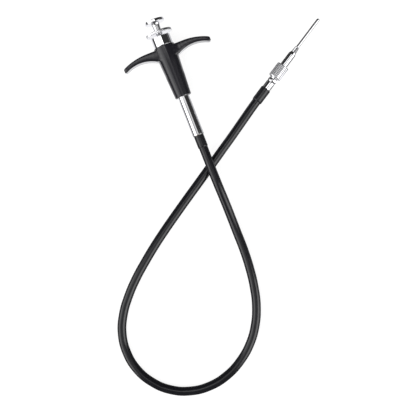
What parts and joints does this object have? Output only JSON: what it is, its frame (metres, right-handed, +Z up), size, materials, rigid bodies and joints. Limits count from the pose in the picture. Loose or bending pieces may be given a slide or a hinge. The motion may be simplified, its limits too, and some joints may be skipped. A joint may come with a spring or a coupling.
{
  "type": "cable shutter release",
  "caption": "Plunger cable release with two finger wings, a disc lock, a flexible black cable and a knurled tip with a taper thread and a steel pin.",
  "frame": {"origin": "on the table, under the middle of the handle's box (thumb button face to sleeve mouth); the handle's axis is 7 mm above it", "axes": "+Y along the handle towards the thumb button, +Z up from the table it lies on, +X along the right finger wing, the side the cable's tip lies on"},
  "size_m": [0.1611, 0.1923, 0.014],
  "materials": {
    "chrome": "polished chrome plate",
    "knurled_chrome": "knurled chrome plate",
    "pin_steel": "drawn steel rod",
    "spring_steel": "spring steel wire",
    "brass": "turned",
    "grip_black": "gloss moulded",
    "cable_black": "satin extruded jacket",
    "sleeve_black": "satin shrunk sleeve"
  },
  "bodies": {
    "handle": {"lock_spring": "spring_steel", "lock_collar": "chrome", "stop_bush": "brass", "grip": "grip_black", "barrel_tube": "chrome", "return_spring": "spring_steel", "spring_seat": "brass", "handle_sleeve": "sleeve_black", "cable_jacket": "cable_black", "cable_conduit": "spring_steel", "core_wire": "spring_steel", "tip_sleeve": "sleeve_black", "tip_ferrule": "chrome", "ferrule_ring": "brass"},
    "plunger": {"thumb_button": "chrome", "plunger_rod": "chrome", "plunger_piston": "brass"},
    "lock_ring": {"lock_disc": "knurled_chrome", "lock_clip": "spring_steel"},
    "clamp": {"clamp_washer": "spring_steel"},
    "tip_nut": {"nut_rear_bush": "chrome", "knurled_collar": "knurled_chrome", "tip_nipple": "chrome"},
    "pin": {"release_pin": "pin_steel", "pin_socket": "brass"}
  },
  "joints": [
    {"name": "plunger_slide", "type": "slide", "parent": "handle", "child": "plunger", "axis": [0, 1, 0], "range_m": [0, 0.0175], "deforming": ["return_spring"]},
    {"name": "pin_slide", "type": "slide", "parent": "handle", "child": "pin", "axis": [-0.8509, -0.5253, 0], "range_m": [0, 0.0175], "deforming": ["core_wire"]},
    {"name": "lock_slide", "type": "slide", "parent": "handle", "child": "lock_ring", "axis": [0, -1, 0], "range_m": [0, 0.0008], "stiffness_N_per_m": 200, "deforming": ["lock_spring"]},
    {"name": "clamp_tilt", "type": "hinge", "parent": "handle", "child": "clamp", "pos_m": [0, 0.0221, 0.0109], "axis": [-1, 0, 0], "range_deg": [0, 8.05]},
    {"name": "tip_nut_spin", "type": "hinge", "parent": "handle", "child": "tip_nut", "pos_m": [0.0396, -0.0203, 0.0035], "axis": [0.8509, 0.5253, 0], "continuous": true}
  ],
  "couplings": [
    {"joint": "pin_slide", "follows": "plunger_slide", "ratio": 1},
    {"joint": "clamp_tilt", "follows": "lock_slide", "rad_per_m": 174.5}
  ]
}
